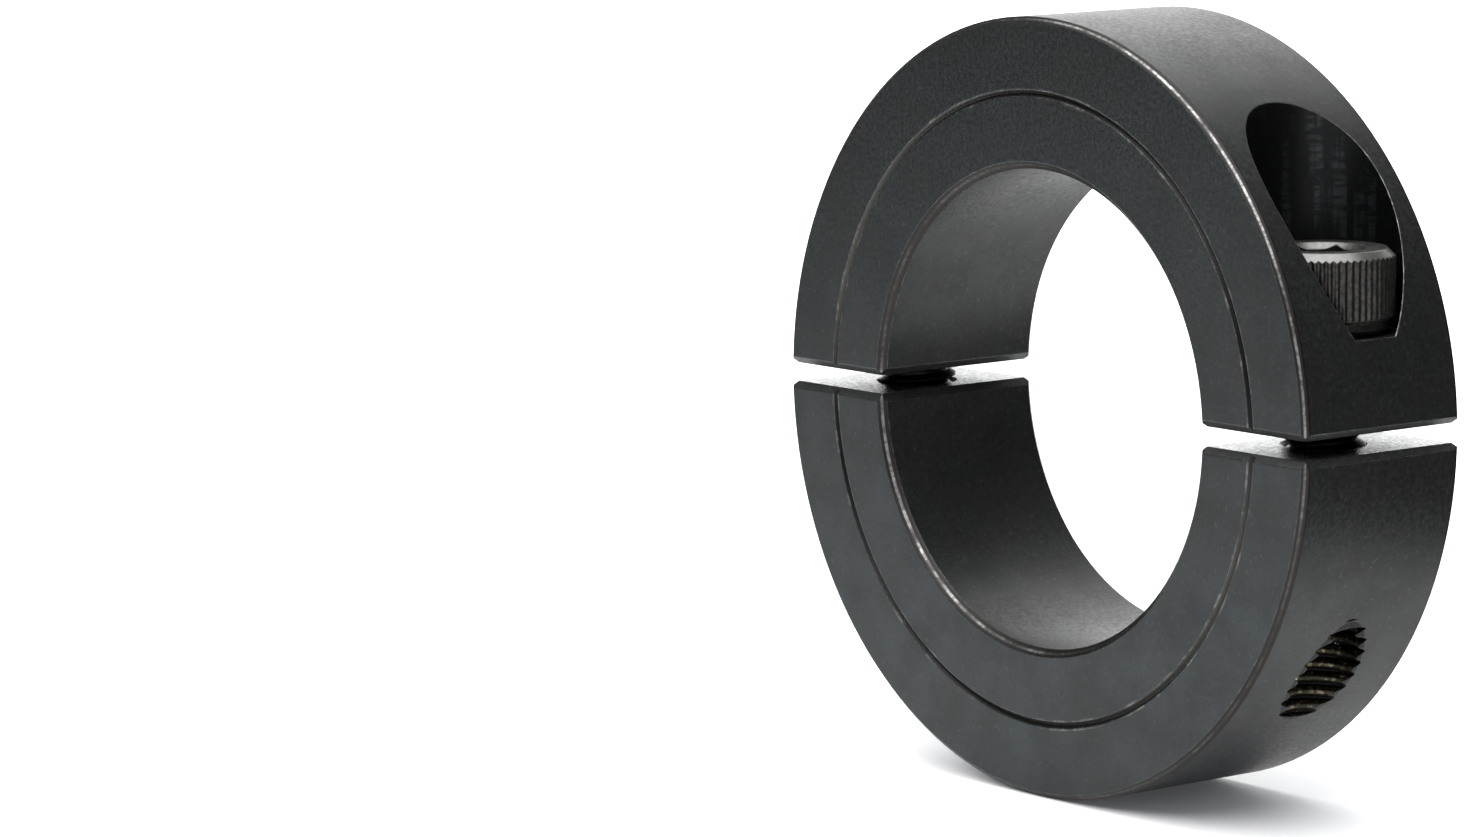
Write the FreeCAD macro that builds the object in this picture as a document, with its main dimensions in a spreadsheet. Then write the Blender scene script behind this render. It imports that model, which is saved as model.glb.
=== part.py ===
"""Two-piece clamping shaft collar: two half rings drawn onto a shaft by two socket head cap screws.

Frame: the bore's axis is Y, with the grooved face towards -Y; the halves part at the plane Z = 0,
and the screws stand along Z with their heads in the upper half. The origin is the bore's centre.
"""
import FreeCAD, Part
import Sketcher
import os

os.makedirs("parts", exist_ok=True)
doc = FreeCAD.newDocument("ShaftCollar")
SHEET = "Sizes"

# ---------------------------------------------------------------- driving sizes, millimetres
SIZES = {
    # ring that both halves are cut from
    "bore_radius": 17.5,
    "outer_radius": 28.5,
    "width": 15,
    "bore_chamfer": 0.55,
    "rim_chamfer": 0.4,
    "groove_radius": 23,
    "groove_width": 0.5,
    "groove_depth": 0.3,
    "saw_gap": 1.4,
    "edge_break": 0.5,
    # stepped and threaded holes for the screws
    "screw_offset": 22.4,
    "seat_height": 7.2,
    "counterbore_radius": 5.5,
    "clearance_radius": 3.3,
    "nut_minor_radius": 2.5,
    "nut_major_radius": 3.07,
    "lead_in": 0.6,
    # the tap's turns, and how many pitches below the seats they start
    "tapped_turns": 25,
    "tapped_drop": 30,
    # M6 x 1 thread, with 60 degree flanks
    "thread_pitch": 1,
    "thread_major_radius": 2.97,
    "thread_minor_radius": 2.4,
    "thread_play": 0.05,
    "crest_width": 0.125,
    "flank_slope": 0.57735,
    # socket head cap screw, 16 long under its head
    "screw_length": 16,
    "plain_shank": 1,
    "tip_chamfer": 0.6,
    "head_radius": 5,
    "head_height": 6,
    "head_chamfer": 0.6,
    "band_height": 1.3,
    "band_step": 0.3,
    "knurl_depth": 0.15,
    "knurl_count": 60,
    "socket_flat": 2.5,
    "socket_depth": 3,
    "drill_point": 1.2,
    "countersink": 0.3,
}
sheet = doc.addObject("Spreadsheet::Sheet", SHEET)
for row, (alias, number) in enumerate(SIZES.items(), start=1):
    sheet.set(f"A{row}", alias)
    sheet.set(f"B{row}", str(number))
    sheet.setAlias(f"B{row}", alias)
doc.recompute()


# ---------------------------------------------------------------- helpers
def bound(expression):
    """The expression with each size's name turned into a reference to the sheet."""
    return " ".join(f"{SHEET}.{word}" if word in SIZES else word for word in expression.split(" "))


def value(expression):
    """The number that an expression of sheet sizes gives."""
    return float(sheet.evalExpression(bound(expression)))


def origin_item(body, role):
    """One of the body's own origin planes or axes."""
    return next(item for item in body.Origin.OriginFeatures if item.Role == role)


def hold(sketch, name, constraint, expression):
    """Add a dimension to a sketch, named and bound to an expression of the sheet's sizes."""
    index = sketch.addConstraint(constraint)
    sketch.renameConstraint(index, name)
    sketch.setExpression(f"Constraints.{name}", bound(expression))


def hold_point(sketch, name, line, end, across, up):
    """Dimension one end of a sketch's line from the sketch's origin."""
    for kind, expression in (("DistanceX", across), ("DistanceY", up)):
        constraint = Sketcher.Constraint(kind, -1, 1, line, end, value(expression))
        hold(sketch, name + kind[-1], constraint, expression)


def outline(body, name, plane, corners, lift="0", axis_at=None):
    """A sketch of one closed outline with straight sides, on a plane of the body raised by lift.

    Corners are pairs of expressions; axis_at adds an upright construction line to turn about.
    """
    sketch = body.newObject("Sketcher::SketchObject", name)
    sketch.AttachmentSupport = [(origin_item(body, plane), "")]
    sketch.MapMode = "FlatFace"
    sketch.setExpression("AttachmentOffset.Base.z", bound(lift))
    points = [FreeCAD.Vector(value(across), value(up), 0) for across, up in corners]
    for start, finish in zip(points, points[1:] + points[:1]):
        sketch.addGeometry(Part.LineSegment(start, finish), False)
    for index, (across, up) in enumerate(corners):
        follower = (index + 1) % len(corners)
        sketch.addConstraint(Sketcher.Constraint("Coincident", index, 2, follower, 1))
        hold_point(sketch, f"corner{index}", index, 1, across, up)
    if axis_at:
        foot, top = (FreeCAD.Vector(value(axis_at), height, 0) for height in (0, value("width")))
        line = sketch.addGeometry(Part.LineSegment(foot, top), True)
        hold_point(sketch, "foot", line, 1, axis_at, "0")
        hold_point(sketch, "top", line, 2, axis_at, "width")
    return sketch


def feature(body, kind, name, profile, axis=None, sizes=None, **settings):
    """Add a sketch-based feature to the body, with settings as they are and sizes as expressions."""
    made = body.newObject(f"PartDesign::{kind}", name)
    made.Profile = profile
    if axis:
        made.ReferenceAxis = (profile, [axis])
    for key, setting in settings.items():
        setattr(made, key, setting)
    for key, expression in (sizes or {}).items():
        made.setExpression(key, bound(expression))
    doc.recompute()
    return made


def around(body, name, features, count):
    """Repeat features evenly about the body's vertical axis, which keeps a thread's hand."""
    pattern = body.newObject("PartDesign::PolarPattern", name)
    pattern.Originals = features
    pattern.Axis = (origin_item(body, "Z_Axis"), [""])
    pattern.Angle = 360
    pattern.setExpression("Occurrences", bound(count))
    body.Tip = pattern
    doc.recompute()


# ---------------------------------------------------------------- the two half rings
RING_SECTION = [
    ("bore_radius", "-( width / 2 - bore_chamfer )"),
    ("bore_radius + bore_chamfer", "-( width / 2 )"),
    ("groove_radius - groove_width / 2", "-( width / 2 )"),
    ("groove_radius", "-( width / 2 - groove_depth )"),
    ("groove_radius + groove_width / 2", "-( width / 2 )"),
    ("outer_radius - rim_chamfer", "-( width / 2 )"),
    ("outer_radius", "-( width / 2 - rim_chamfer )"),
    ("outer_radius", "width / 2 - rim_chamfer"),
    ("outer_radius - rim_chamfer", "width / 2"),
    ("bore_radius + bore_chamfer", "width / 2"),
    ("bore_radius", "width / 2 - bore_chamfer"),
]


def half_ring(label, side):
    """Half of the grooved ring: above the split for side 1, below it for side -1.

    The saw takes half of its gap from each end, and every edge that it leaves is broken at 45 degrees.
    """
    body = doc.addObject("PartDesign::Body", label)
    section = outline(body, f"{label}_section", "XY_Plane", RING_SECTION)
    feature(body, "Revolution", f"{label}_ring", section, "V_Axis", Angle=180, Reversed=side > 0)
    end = f"{side} * ( saw_gap / 2 )"
    lifted = f"{side} * ( saw_gap / 2 + 2 * edge_break )"
    beyond = f"{-side} * saw_gap"
    along_bore = [
        ("-( outer_radius + edge_break )", lifted), ("-( outer_radius - edge_break )", end),
        ("-( bore_radius + edge_break )", end), ("-( bore_radius - edge_break )", lifted),
        ("bore_radius - edge_break", lifted), ("bore_radius + edge_break", end),
        ("outer_radius - edge_break", end), ("outer_radius + edge_break", lifted),
        ("outer_radius + edge_break", beyond), ("-( outer_radius + edge_break )", beyond)]
    across_bore = [
        ("-( width / 2 + edge_break )", lifted), ("-( width / 2 - edge_break )", end),
        ("width / 2 - edge_break", end), ("width / 2 + edge_break", lifted),
        ("width / 2 + edge_break", beyond), ("-( width / 2 + edge_break )", beyond)]
    for name, plane, corners in (("saw_cut", "XZ_Plane", along_bore),
                                 ("face_edges", "YZ_Plane", across_bore)):
        cut = outline(body, f"{label}_{name}_section", plane, corners)
        feature(body, "Pocket", f"{label}_{name}", cut, Type="ThroughAll", SideType="Symmetric")
    return body


def upper_half():
    """The half that the heads sit in: a clearance hole and a counterbore open to the rim, each end."""
    body = half_ring("upper_half", 1)
    steps = [
        ("screw_offset", "-( saw_gap )"),
        ("screw_offset + clearance_radius", "-( saw_gap )"),
        ("screw_offset + clearance_radius", "seat_height"),
        ("screw_offset + counterbore_radius", "seat_height"),
        ("screw_offset + counterbore_radius", "outer_radius"),
        ("screw_offset", "outer_radius")]
    section = outline(body, "stepped_hole_section", "XZ_Plane", steps, axis_at="screw_offset")
    hole = feature(body, "Groove", "stepped_hole", section, "Axis0", Angle=360)
    around(body, "stepped_holes", [hole], "2")


def lower_half():
    """The half that the screws pull on: a threaded hole with a lead-in cone, right through, each end."""
    body = half_ring("lower_half", -1)
    wall = "screw_offset + nut_minor_radius"
    drilled = [
        ("screw_offset", "saw_gap"),
        (f"{wall} + lead_in", "saw_gap"),
        (f"{wall} + lead_in", "-( saw_gap / 2 )"),
        (wall, "-( saw_gap / 2 + lead_in )"),
        (wall, "-( outer_radius )"),
        ("screw_offset", "-( outer_radius )")]
    section = outline(body, "tap_drill_section", "XZ_Plane", drilled, axis_at="screw_offset")
    drill = feature(body, "Groove", "tap_drill", section, "Axis0", Angle=360)
    # One turn's groove: the screw's ridge with the thread's play added all round, half a pitch
    # away from the screw's own groove and well below the hole, so that the helix sweeps right through.
    start = "seat_height - tapped_drop * thread_pitch"
    root = "( crest_width / 2 + thread_play - ( nut_major_radius - thread_major_radius ) * flank_slope )"
    mouth = f"{root} + ( nut_major_radius - nut_minor_radius + thread_play ) * flank_slope"
    turn = [
        (f"{wall} - thread_play", f"{start} - ( {mouth} )"),
        ("screw_offset + nut_major_radius", f"{start} - {root}"),
        ("screw_offset + nut_major_radius", f"{start} + {root}"),
        (f"{wall} - thread_play", f"{start} + {mouth}")]
    section = outline(body, "nut_thread_section", "XZ_Plane", turn, axis_at="screw_offset")
    thread = feature(body, "SubtractiveHelix", "nut_thread", section, "Axis0",
                     {"Pitch": "thread_pitch", "Height": "tapped_turns * thread_pitch"},
                     Mode=0, HasBeenEdited=True)
    around(body, "threaded_holes", [drill, thread], "2")


# ---------------------------------------------------------------- the two screws
def clamp_screw(label, side):
    """A socket head cap screw; its own origin is on its axis, in the plane that its head seats on."""
    body = doc.addObject("PartDesign::Body", label)
    blank = [
        ("0", "head_height"),
        ("head_radius - head_chamfer", "head_height"),
        ("head_radius", "head_height - head_chamfer"),
        ("head_radius", "band_height"),
        ("head_radius - band_step", "band_height - band_step"),
        ("head_radius - band_step", "edge_break"),
        ("head_radius - band_step - edge_break", "0"),
        ("thread_major_radius", "0"),
        ("thread_major_radius", "-( screw_length - tip_chamfer )"),
        ("thread_major_radius - tip_chamfer", "-( screw_length )"),
        ("0", "-( screw_length )")]
    section = outline(body, f"{label}_section", "XZ_Plane", blank)
    feature(body, "Revolution", f"{label}_blank", section, "V_Axis", Angle=360)

    # The groove between two turns, cut from below the tip up to the plain shank.
    start = "-( screw_length + thread_pitch / 2 )"
    root = "( ( thread_pitch - crest_width ) / 2"
    root += " - ( thread_major_radius - thread_minor_radius ) * flank_slope )"
    mouth = "( ( thread_pitch - crest_width ) / 2 + thread_play * flank_slope )"
    turn = [
        ("thread_minor_radius", f"{start} - {root}"),
        ("thread_major_radius + thread_play", f"{start} - {mouth}"),
        ("thread_major_radius + thread_play", f"{start} + {mouth}"),
        ("thread_minor_radius", f"{start} + {root}")]
    section = outline(body, f"{label}_thread_section", "XZ_Plane", turn)
    feature(body, "SubtractiveHelix", f"{label}_thread", section, "V_Axis",
            {"Pitch": "thread_pitch", "Height": "screw_length - plain_shank"},
            Mode=0, HasBeenEdited=True)

    hexagon = [(f"socket_flat / cos(30deg) * cos({angle}deg)",
                f"socket_flat / cos(30deg) * sin({angle}deg)") for angle in range(0, 360, 60)]
    section = outline(body, f"{label}_socket_section", "XY_Plane", hexagon, lift="head_height")
    feature(body, "Pocket", f"{label}_socket", section, sizes={"Length": "socket_depth"})
    drilled = [
        ("0", "head_height - socket_depth"),
        ("socket_flat", "head_height - socket_depth"),
        ("0", "head_height - socket_depth - drill_point")]
    sunk = [
        ("0", "head_height"),
        ("socket_flat / cos(30deg) + countersink / 2", "head_height"),
        ("socket_flat / cos(30deg) - countersink", "head_height - countersink * 3 / 2"),
        ("0", "head_height - countersink * 3 / 2")]
    for name, corners in (("drill_point", drilled), ("countersink", sunk)):
        section = outline(body, f"{label}_{name}_section", "XZ_Plane", corners)
        feature(body, "Groove", f"{label}_{name}", section, "V_Axis", Angle=360)

    flute = [
        ("head_radius - knurl_depth", "0"),
        ("head_radius + knurl_depth", "-( 3 * knurl_depth )"),
        ("head_radius + knurl_depth", "3 * knurl_depth")]
    section = outline(body, f"{label}_flute_section", "XY_Plane", flute, lift="head_height")
    cut = feature(body, "Pocket", f"{label}_flute", section,
                  sizes={"Length": "head_height - band_height"})
    around(body, f"{label}_knurl", [cut], "knurl_count")

    turned = FreeCAD.Rotation(FreeCAD.Vector(0, 0, 1), 0 if side > 0 else 180)
    body.Placement = FreeCAD.Placement(FreeCAD.Vector(0, 0, 0), turned)
    body.setExpression("Placement.Base.x", bound(f"{side} * screw_offset"))
    body.setExpression("Placement.Base.z", bound("seat_height"))


# ---------------------------------------------------------------- build, check and write
upper_half()
lower_half()
for label, side in (("clamp_screw_right", 1), ("clamp_screw_left", -1)):
    clamp_screw(label, side)
doc.recompute()

failed = [item.Name for item in doc.Objects if {"Invalid", "Error"} & set(item.State)]
bodies = [item for item in doc.Objects if item.TypeId == "PartDesign::Body"]
failed += [body.Label for body in bodies if body.Shape.isNull() or not body.Shape.isValid()]
if failed:
    raise SystemExit(f"failed: {failed}")
for body in bodies:
    solids = len(body.Shape.Solids)
    print(f"{body.Label}: {solids} solid, {body.Shape.Volume:.1f} cubic mm, {body.Shape.BoundBox}")
    body.Shape.exportStep(f"parts/{body.Label}.step")
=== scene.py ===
"""Looks of the two-piece shaft collar: black-oxide steel, standing on its rim on a pale floor.

Metres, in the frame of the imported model: the bore runs along Y with the grooved face towards -Y,
and the screws stand along Z with their heads up.
"""
import math

import bpy
from mathutils import Matrix, Vector


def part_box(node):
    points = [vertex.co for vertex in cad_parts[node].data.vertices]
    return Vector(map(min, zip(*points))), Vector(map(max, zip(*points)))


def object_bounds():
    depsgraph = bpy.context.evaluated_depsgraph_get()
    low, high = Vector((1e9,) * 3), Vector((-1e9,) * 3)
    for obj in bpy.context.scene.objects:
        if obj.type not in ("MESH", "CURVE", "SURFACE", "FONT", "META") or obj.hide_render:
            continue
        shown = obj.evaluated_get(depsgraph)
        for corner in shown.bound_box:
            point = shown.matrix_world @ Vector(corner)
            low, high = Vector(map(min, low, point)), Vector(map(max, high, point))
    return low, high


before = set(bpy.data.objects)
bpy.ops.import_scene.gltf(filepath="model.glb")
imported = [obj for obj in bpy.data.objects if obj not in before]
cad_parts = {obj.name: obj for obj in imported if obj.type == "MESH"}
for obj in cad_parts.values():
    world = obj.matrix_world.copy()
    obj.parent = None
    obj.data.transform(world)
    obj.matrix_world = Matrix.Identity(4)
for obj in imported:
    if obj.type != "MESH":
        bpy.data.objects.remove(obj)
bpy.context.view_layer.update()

MM = 0.001
LOW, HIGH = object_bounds()
OUTER_RADIUS = HIGH.z
HALF_WIDTH = HIGH.y
FLOOR = LOW.z
SCREW_OFFSET = sum(corner.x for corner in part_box("clamp_screw_right")) / 2
HEAD_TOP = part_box("clamp_screw_right")[1].z
HALF_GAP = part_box("upper_half")[0].z
HEAD_HEIGHT = 6 * MM
SEAT = HEAD_TOP - HEAD_HEIGHT
BORE_RADIUS = 17.5 * MM
BORE_CHAMFER = 0.55 * MM
RIM_CHAMFER = 0.4 * MM
GROOVE_RADIUS = 23 * MM
COUNTERBORE_RADIUS = 5.5 * MM
THREAD_RADIUS = 3.07 * MM
MOUTH_RADIUS = 2.95 * MM
MOUTH_TOP = -10 * MM
HOLE_SURROUND = 3.3 * MM
FLOOR_HALF_WIDTH = 6.0


# ---------------------------------------------------------------- camera
def make_camera():
    """A long lens, right of the bore's axis and a little above, with the collar right of centre."""
    azimuth, elevation, roll = math.radians(52.3), math.radians(8.1), math.radians(-0.57)
    distance, left_by, below_by = 0.4295, 0.0278, 0.0013
    back = Vector((math.sin(azimuth) * math.cos(elevation),
                   -math.cos(azimuth) * math.cos(elevation),
                   math.sin(elevation)))
    level = Vector((math.cos(azimuth), math.sin(azimuth), 0))
    upright = back.cross(level)
    right = level * math.cos(roll) + upright * math.sin(roll)
    up = upright * math.cos(roll) - level * math.sin(roll)
    camera = bpy.data.objects.new("camera", bpy.data.cameras.new("camera"))
    camera.data.sensor_width = 36
    camera.data.lens = 144.3
    camera.data.clip_start, camera.data.clip_end = 0.01, 30
    place = back * distance - right * left_by - up * below_by
    turn = Matrix((right, up, back)).transposed().to_4x4()
    camera.matrix_world = Matrix.Translation(place) @ turn
    bpy.context.scene.collection.objects.link(camera)
    bpy.context.scene.camera = camera


# ---------------------------------------------------------------- shader building
class Shader:
    """A material under construction, with one method for each kind of node that it uses."""

    def __init__(self, name):
        self.material = bpy.data.materials.new(name)
        self.material.use_nodes = True
        self.nodes = self.material.node_tree.nodes
        self.surface = self.nodes["Principled BSDF"]

    def feed(self, socket, source):
        """Give a socket a plain value, or link it to another node's output."""
        if isinstance(source, bpy.types.NodeSocket):
            self.material.node_tree.links.new(source, socket)
        else:
            socket.default_value = source

    def node(self, kind, settings=None, **inputs):
        """A new node with its settings and its inputs, named as in its panel with _ for spaces."""
        made = self.nodes.new(f"ShaderNode{kind}")
        for key, setting in (settings or {}).items():
            setattr(made, key, setting)
        for key, source in inputs.items():
            self.feed(made.inputs[key.replace("_", " ")], source)
        return made

    def math(self, operation, *sources):
        """A Math node's result."""
        made = self.node("Math", {"operation": operation})
        for socket, source in zip(made.inputs, sources):
            self.feed(socket, source)
        return made.outputs[0]

    def noise(self, vector, scale, detail=2.0, roughness=0.5):
        """Fractal noise from 0 to 1, its features about 1 / scale across."""
        return self.node("TexNoise", Vector=vector, Scale=scale, Detail=detail,
                         Roughness=roughness).outputs["Fac"]

    def step(self, source, low, high, to_low=0.0, to_high=1.0):
        """A smooth step of a value, from to_low at low to to_high at high."""
        made = self.node("MapRange", {"interpolation_type": "SMOOTHSTEP"}, Value=source)
        for key, number in (("From Min", low), ("From Max", high),
                            ("To Min", to_low), ("To Max", to_high)):
            made.inputs[key].default_value = number
        return made.outputs["Result"]

    def vector(self, x, y, z):
        """A vector from three numbers or outputs."""
        return self.node("CombineXYZ", X=x, Y=y, Z=z).outputs[0]

    def colour(self, factor, first, second):
        """A mix of two colours."""
        made = self.node("Mix", {"data_type": "RGBA"})
        self.feed(made.inputs["Factor"], factor)
        self.feed(made.inputs[6], first)
        self.feed(made.inputs[7], second)
        return made.outputs[2]

    def all_of(self, *factors):
        """The product of several factors."""
        result = factors[0]
        for factor in factors[1:]:
            result = self.math("MULTIPLY", result, factor)
        return result


def grey(level, red=1.0, green=1.0, blue=1.0):
    """A near-grey colour with a slight tint."""
    return (level * red, level * green, level * blue, 1)


def within(shader, source, centre, half_width, softness):
    """1 where a value is inside a band, falling to 0 over the softness at its edges."""
    distance = shader.math("ABSOLUTE", shader.math("SUBTRACT", source, centre))
    return shader.step(distance, half_width + softness, half_width)


def edge_mask(shader, radius, low, high):
    """How sharply the surface turns within a radius, and the normal that rounds its edges."""
    rounded = shader.node("Bevel", {"samples": 6}, Radius=radius).outputs[0]
    flat = shader.node("NewGeometry").outputs["True Normal"]
    alike = shader.node("VectorMath", {"operation": "DOT_PRODUCT"})
    shader.feed(alike.inputs[0], rounded)
    shader.feed(alike.inputs[1], flat)
    return shader.step(alike.outputs["Value"], 1 - low, 1 - high), rounded


# ---------------------------------------------------------------- materials
def collar_steel():
    """Black oxide over turned steel: fine speckle, faint lathe marks, edges worn to bright metal.

    Painted highlight lines on the chamfers favour +X and +Z; the threaded holes' mouths and roots,
    the counterbores and the up-facing groove flank are painted dark as shade.
    """
    s = Shader("collar_black_oxide")
    place = s.node("TexCoord").outputs["Object"]
    facing = s.node("SeparateXYZ", Vector=s.node("TexCoord").outputs["Normal"]).outputs
    x, y, z = s.node("SeparateXYZ", Vector=place).outputs
    radius = s.math("SQRT", s.math("ADD", s.math("MULTIPLY", x, x), s.math("MULTIPLY", z, z)))
    angle = s.math("ARCTAN2", z, x)

    # Where things are: flat faces, groove, chamfers, counterbores, threaded holes and sawn ends.
    flat_face = s.step(s.math("ABSOLUTE", facing[1]), 0.75, 0.95)
    inside = s.step(radius, OUTER_RADIUS - 0.02 * MM, OUTER_RADIUS - 0.07 * MM)
    groove = s.all_of(within(s, radius, GROOVE_RADIUS, 0.25 * MM, 0.03 * MM),
                      within(s, y, -HALF_WIDTH + 0.18 * MM, 0.14 * MM, 0.02 * MM))
    groove_rim = s.all_of(within(s, radius, GROOVE_RADIUS, 0.36 * MM, 0.06 * MM),
                          s.step(y, -HALF_WIDTH + 0.06 * MM, -HALF_WIDTH + 0.03 * MM))
    depth = s.math("ABSOLUTE", y)
    slanted = s.all_of(s.step(s.math("ABSOLUTE", facing[1]), 0.95, 0.85),
                       s.step(depth, HALF_WIDTH - BORE_CHAMFER,
                              HALF_WIDTH - BORE_CHAMFER + 0.04 * MM))
    bore_edge = s.all_of(slanted, s.step(radius, BORE_RADIUS + BORE_CHAMFER + 0.02 * MM,
                                         BORE_RADIUS + BORE_CHAMFER - 0.02 * MM))
    rim_edge = s.all_of(slanted, s.step(radius, OUTER_RADIUS - RIM_CHAMFER - 0.02 * MM,
                                        OUTER_RADIUS - RIM_CHAMFER + 0.02 * MM))
    bore_line = s.all_of(bore_edge, within(s, s.math("ADD", radius, depth),
                                           BORE_RADIUS + HALF_WIDTH + 0.05 * MM,
                                           0.08 * MM, 0.14 * MM))
    rim_line = s.all_of(rim_edge, within(s, s.math("SUBTRACT", radius, depth),
                                         OUTER_RADIUS - HALF_WIDTH, 0.05 * MM, 0.14 * MM))
    across = s.math("SUBTRACT", s.math("ABSOLUTE", x), SCREW_OFFSET)
    from_axis = s.math("SQRT", s.math("ADD", s.math("MULTIPLY", across, across),
                                      s.math("MULTIPLY", y, y)))
    counterbore = s.all_of(inside, within(s, from_axis, COUNTERBORE_RADIUS, 0.06 * MM, 0.02 * MM),
                           s.step(z, SEAT, SEAT + 0.05 * MM))
    # Painted shade: the mouths of the threaded holes, painted near black so the thread ends look
    # shadowed.
    mouth_shade = s.all_of(s.step(from_axis, MOUTH_RADIUS + 0.03 * MM, MOUTH_RADIUS - 0.03 * MM),
                     s.step(z, MOUTH_TOP, MOUTH_TOP - 1 * MM))
    threads = s.all_of(inside, s.step(from_axis, THREAD_RADIUS + 0.1 * MM, THREAD_RADIUS),
                       s.step(z, 0, -1 * MM))
    sawn = s.all_of(s.step(s.math("ABSOLUTE", facing[2]), 0.90, 0.97),
                    s.step(s.math("ABSOLUTE", z), HALF_GAP + 0.1 * MM, HALF_GAP + 0.05 * MM))

    # Fine speckle of the oxide, broader clouding, sparse bright specks and the lathe's lay.
    speckle = s.noise(place, 3200, 3, 0.6)
    clouds = s.noise(place, 260, 4, 0.6)
    mottle = s.noise(place, 75, 3, 0.55)
    specks = s.noise(place, 2400, 2, 0.6)
    lay = s.noise(s.vector(s.math("MULTIPLY", radius, 9000), s.math("MULTIPLY", y, 9000),
                           s.math("MULTIPLY", angle, 6)), 1, 3, 0.7)
    streaks = s.noise(s.vector(s.math("MULTIPLY", x, 900), s.math("MULTIPLY", y, 900),
                               s.math("MULTIPLY", z, 90)), 1, 2, 0.6)
    rings = s.noise(s.vector(s.math("MULTIPLY", x, 500), s.math("MULTIPLY", y, 500),
                             s.math("MULTIPLY", z, 2600)), 1, 2, 0.6)

    body = s.colour(flat_face, grey(0.047, 0.95, 1.0, 1.0), grey(0.053, 0.83, 1.0, 1.06))
    body = s.colour(s.step(speckle, 0.40, 0.62, 0, 0.5), body, grey(0.074, 0.95, 1.0, 1.0))
    body = s.colour(s.step(clouds, 0.35, 0.70, 0.0, 0.4), body, grey(0.028, 0.96, 1.0, 1.0))
    body = s.colour(s.step(mottle, 0.40, 0.65, 0.0, 0.3), body, grey(0.034, 0.98, 1.0, 0.98))
    tint = s.step(s.noise(place, 210, 4, 0.65), 0.42, 0.60, 0, 0.30)
    body = s.colour(tint, body, grey(0.047, 1.06, 0.99, 0.94))
    body = s.colour(s.step(specks, 0.58, 0.74, 0, 0.25), body, grey(0.13))
    body = s.colour(s.math("MULTIPLY", s.math("MAXIMUM", bore_edge, rim_edge), 0.8), body,
                    grey(0.020, 1.1, 1.0, 0.9))
    # Painted shade: the counterbore walls are painted near black, with faint painted highlight
    # streaks.
    body = s.colour(counterbore, body, grey(0.012, 0.95, 1.0, 1.05))
    counterbore_highlight = s.all_of(counterbore, s.step(streaks, 0.50, 0.66),
                       s.step(rings, 0.40, 0.62, 0.1, 1.0))
    body = s.colour(s.math("MULTIPLY", counterbore_highlight, 0.4), body, grey(0.075, 0.92, 1.0, 1.08))
    # Painted shade and light in the threaded holes: near black roots, crests painted lighter with a
    # brass tint, and painted glints.
    lit_crests = s.all_of(s.step(from_axis, MOUTH_RADIUS + 0.03 * MM, MOUTH_RADIUS - 0.25 * MM),
                      s.step(specks, 0.50, 0.62, 0.15, 1.0))
    body = s.colour(mouth_shade, body, grey(0.008))
    body = s.colour(threads, body, s.colour(lit_crests, grey(0.012), grey(0.16, 1.15, 1.0, 0.6)))
    body = s.colour(s.all_of(threads, s.step(specks, 0.68, 0.74)), body, grey(0.6))
    body = s.colour(sawn, body, grey(0.16, 0.95, 1.0, 0.97))
    # Painted shade: the groove flank facing up is near black, the flank facing down a lighter olive
    # grey.
    flank_shade = s.colour(s.step(facing[2], 0.15, -0.35), grey(0.014), grey(0.060, 1.0, 0.98, 0.88))
    body = s.colour(groove, body, flank_shade)

    turned, rounded = edge_mask(s, 0.14 * MM, 0.02, 0.20)
    patchy = s.step(s.noise(place, 900, 3, 0.65), 0.40, 0.62, 0.25, 1.0)
    dotted = s.step(specks, 0.42, 0.62, 0.45, 1.0)
    worn = s.all_of(turned, patchy, dotted, s.math("SUBTRACT", 1.0, groove),
                    s.math("SUBTRACT", 1.0, counterbore), s.math("SUBTRACT", 1.0, threads),
                    s.step(from_axis, HOLE_SURROUND, HOLE_SURROUND + 0.5 * MM))
    scratched = s.all_of(groove_rim, s.step(s.noise(place, 420, 3, 0.6), 0.50, 0.66), dotted)
    # Painted highlight: bright lines along the chamfers, strongest where the surface faces +X and
    # +Z, broken up like rubbed wear.
    wear_and_highlight = s.all_of(s.math("MAXIMUM", rim_line, bore_line), dotted,
                      s.step(s.math("ADD", facing[0], facing[2]), 0.5, 0.95, 0.12, 0.9),
                      s.step(s.noise(place, 330, 3, 0.6), 0.36, 0.60, 0.2, 1.0))
    # Bright edges: real wear on the edges and groove rim, plus the painted highlight lines on the
    # chamfers.
    bright = s.math("MAXIMUM", s.math("MULTIPLY", worn, s.math("SUBTRACT", 1.0, slanted)),
                    s.math("MAXIMUM", wear_and_highlight, s.math("MULTIPLY", scratched, 0.28)))
    s.feed(s.surface.inputs["Base Color"], s.colour(bright, body, grey(0.45, 1.0, 1.0, 0.98)))
    rough = s.step(speckle, 0.3, 0.7, 0.36, 0.50)
    rough = s.math("ADD", rough, s.step(clouds, 0.3, 0.7, -0.015, 0.015))
    rough = s.math("SUBTRACT", rough, s.math("MULTIPLY", bright, 0.1))
    rough = s.math("SUBTRACT", rough, s.math("MULTIPLY", sawn, 0.12))
    s.feed(s.surface.inputs["Roughness"], rough)
    s.surface.inputs["Metallic"].default_value = 0.85
    height = s.math("ADD", s.math("MULTIPLY", speckle, 0.7), s.math("MULTIPLY", lay, 0.5))
    height = s.math("ADD", height, s.math("MULTIPLY", specks, 0.7))
    bump = s.node("Bump", Strength=s.step(sawn, 0, 1, 0.24, 0.05), Distance=0.02 * MM,
                  Height=height, Normal=rounded)
    s.feed(s.surface.inputs["Normal"], bump.outputs[0])
    return s.material


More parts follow.
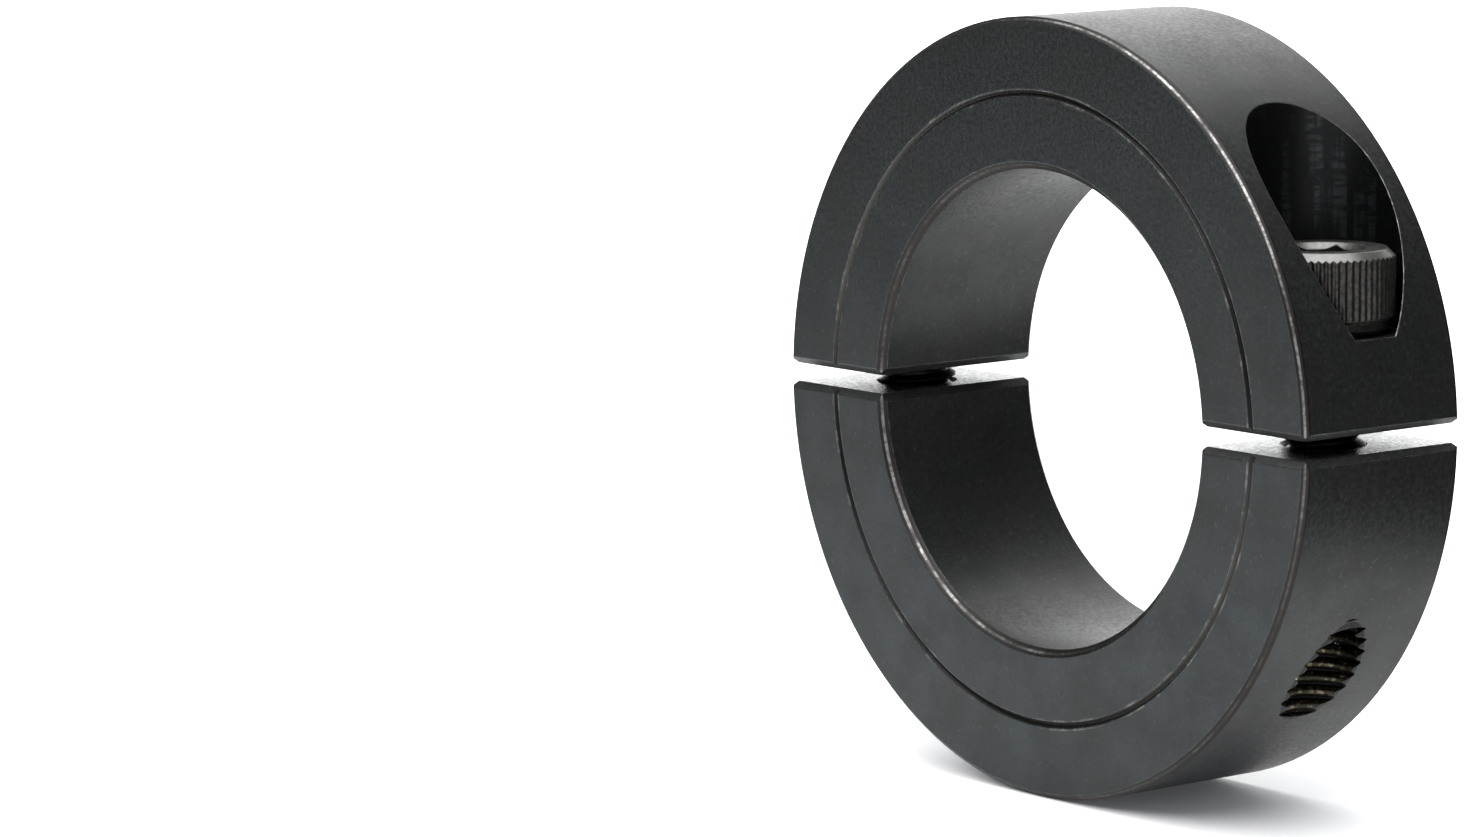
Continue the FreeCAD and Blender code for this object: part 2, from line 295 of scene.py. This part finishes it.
def screw_steel():
    """Oiled black oxide on hardened steel; the key has worn the head's top bright."""
    s = Shader("screw_black_oxide")
    place = s.node("TexCoord").outputs["Object"]
    z = s.node("SeparateXYZ", Vector=place).outputs[2]
    facing = s.node("SeparateXYZ", Vector=s.node("TexCoord").outputs["Normal"]).outputs
    top = s.all_of(s.step(z, HEAD_TOP - 0.8 * MM, HEAD_TOP - 0.5 * MM), s.step(facing[2], 0.3, 0.6))
    rim = s.all_of(top, s.step(facing[2], 0.95, 0.85))
    head = s.step(z, SEAT - 0.1 * MM, SEAT + 0.1 * MM)
    speckle = s.noise(place, 3600, 3, 0.6)
    wear_and_highlight = s.noise(place, 1100, 3, 0.6)
    turned, rounded = edge_mask(s, 0.18 * MM, 0.03, 0.25)
    body = s.colour(head, grey(0.014), grey(0.062, 1.05, 1.0, 0.92))
    body = s.colour(s.all_of(head, s.step(speckle, 0.42, 0.62)), body, grey(0.036))
    wear = s.all_of(turned, head, s.step(wear_and_highlight, 0.4, 0.65, 0.05, 0.45))
    bright = s.math("MAXIMUM", wear, s.all_of(top, s.step(wear_and_highlight, 0.35, 0.6, 0.25, 0.8)))
    bright = s.math("MAXIMUM", bright, s.all_of(rim, s.step(wear_and_highlight, 0.30, 0.5, 0.7, 2.2)))
    s.feed(s.surface.inputs["Base Color"], s.colour(bright, body, grey(0.17, 1.0, 0.99, 0.96)))
    s.feed(s.surface.inputs["Roughness"], s.step(speckle, 0.3, 0.7, 0.30, 0.44))
    s.surface.inputs["Metallic"].default_value = 0.9
    bump = s.node("Bump", Strength=0.2, Distance=0.02 * MM, Height=speckle, Normal=rounded)
    s.feed(s.surface.inputs["Normal"], bump.outputs[0])
    return s.material


def floor_paper():
    """White seamless paper with a faint tooth and a faint glow that lightens the shadows, weaker
    where the collar stands as a painted contact shadow.
    """
    s = Shader("floor_paper")
    place = s.node("TexCoord").outputs["Object"]
    tooth = s.noise(place, 900, 3, 0.6)
    s.feed(s.surface.inputs["Base Color"], s.colour(tooth, grey(0.86), grey(0.90)))
    s.surface.inputs["Roughness"].default_value = 0.7
    s.surface.inputs["Specular IOR Level"].default_value = 0.25
    s.surface.inputs["Emission Color"].default_value = grey(1.0, 0.95, 0.98, 1.06)
    x, y = s.node("SeparateXYZ", Vector=place).outputs[:2]
    from_contact = s.math("SQRT", s.math("ADD", s.math("MULTIPLY", x, x), s.math("MULTIPLY", y, y)))
    # Painted shadow: the glow fades close to where the collar touches the floor.
    s.feed(s.surface.inputs["Emission Strength"], s.step(from_contact, 4 * MM, 20 * MM, 0.05, 0.18))
    bump = s.node("Bump", Strength=0.03, Distance=0.05 * MM, Height=tooth)
    s.feed(s.surface.inputs["Normal"], bump.outputs[0])
    return s.material


def dress_nodes():
    """Give every CAD node its material."""
    collar, screw = collar_steel(), screw_steel()
    for name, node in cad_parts.items():
        node.data.materials.clear()
        node.data.materials.append(screw if name.startswith("clamp_screw") else collar)


# ---------------------------------------------------------------- floor and light
def make_floor():
    """A wide plain floor just under the collar's rim."""
    mesh = bpy.data.meshes.new("floor")
    half = FLOOR_HALF_WIDTH
    corners = [(-half, -half, 0), (half, -half, 0), (half, half, 0), (-half, half, 0)]
    mesh.from_pydata(corners, [], [(0, 1, 2, 3)])
    floor = bpy.data.objects.new("floor", mesh)
    floor.location.z = FLOOR
    floor.data.materials.append(floor_paper())
    bpy.context.scene.collection.objects.link(floor)


def facing_collar(thing, direction, distance):
    """Put an object at a distance from the collar in a direction, its -Z side facing the collar."""
    towards = Vector(direction).normalized()
    thing.location = towards * distance
    thing.rotation_mode = "QUATERNION"
    thing.rotation_quaternion = towards.to_track_quat("Z", "Y")
    bpy.context.scene.collection.objects.link(thing)


def overhead_light():
    """The main light: a wide overhead one that leaves only a soft shadow under the rim."""
    light = bpy.data.lights.new("overhead", "SUN")
    light.angle = math.radians(85)
    light.energy = 5.0
    facing_collar(bpy.data.objects.new("overhead", light), (0, -0.30, 0.95), 1.0)


def back_panel():
    """A large panel behind and to the left, which gives the turned surfaces their sheen."""
    light = bpy.data.lights.new("back_panel", "AREA")
    light.shape = "RECTANGLE"
    light.size, light.size_y = 0.7, 0.75
    light.energy = 2.4 * math.pi * light.size * light.size_y
    lamp = bpy.data.objects.new("back_panel", light)
    facing_collar(lamp, (-0.55, 0.66, 0.38), 0.8)
    lamp.visible_camera = False


def dark_cards():
    """Dark cards standing on the floor, seen only in reflections, which darken the satin sides."""
    s = Shader("dark_card")
    fibre = s.noise(s.node("TexCoord").outputs["Object"], 300)
    s.feed(s.surface.inputs["Base Color"], s.colour(fibre, grey(0.01), grey(0.02)))
    s.surface.inputs["Roughness"].default_value = 0.9
    for name, bearing, distance, lean, width, height in (
            ("card_behind_right", 40, 0.055, 35, 0.16, 0.16),
            ("card_front_left", 221, 0.22, 0, 0.36, 0.30)):
        half = width / 2
        mesh = bpy.data.meshes.new(name)
        mesh.from_pydata([(-half, 0, 0), (half, 0, 0), (half, 0, height), (-half, 0, height)],
                         [], [(0, 1, 2, 3)])
        mesh.materials.append(s.material)
        card = bpy.data.objects.new(name, mesh)
        heading = math.radians(bearing)
        card.location = (distance * math.cos(heading), distance * math.sin(heading), FLOOR)
        card.rotation_euler = (-math.radians(lean), 0, heading - math.pi / 2)
        for kind in ("camera", "diffuse", "shadow"):
            setattr(card, f"visible_{kind}", False)
        bpy.context.scene.collection.objects.link(card)


def light_scene():
    """An overhead light, a panel behind, two dark cards for reflections, and a dim room."""
    overhead_light()
    back_panel()
    dark_cards()
    world = bpy.data.worlds.new("room")
    world.use_nodes = True
    world.node_tree.nodes["Background"].inputs["Color"].default_value = grey(1.0)
    world.node_tree.nodes["Background"].inputs["Strength"].default_value = 0.15
    bpy.context.scene.world = world
    bpy.context.scene.view_settings.view_transform = "Standard"


make_camera()
dress_nodes()
make_floor()
light_scene()
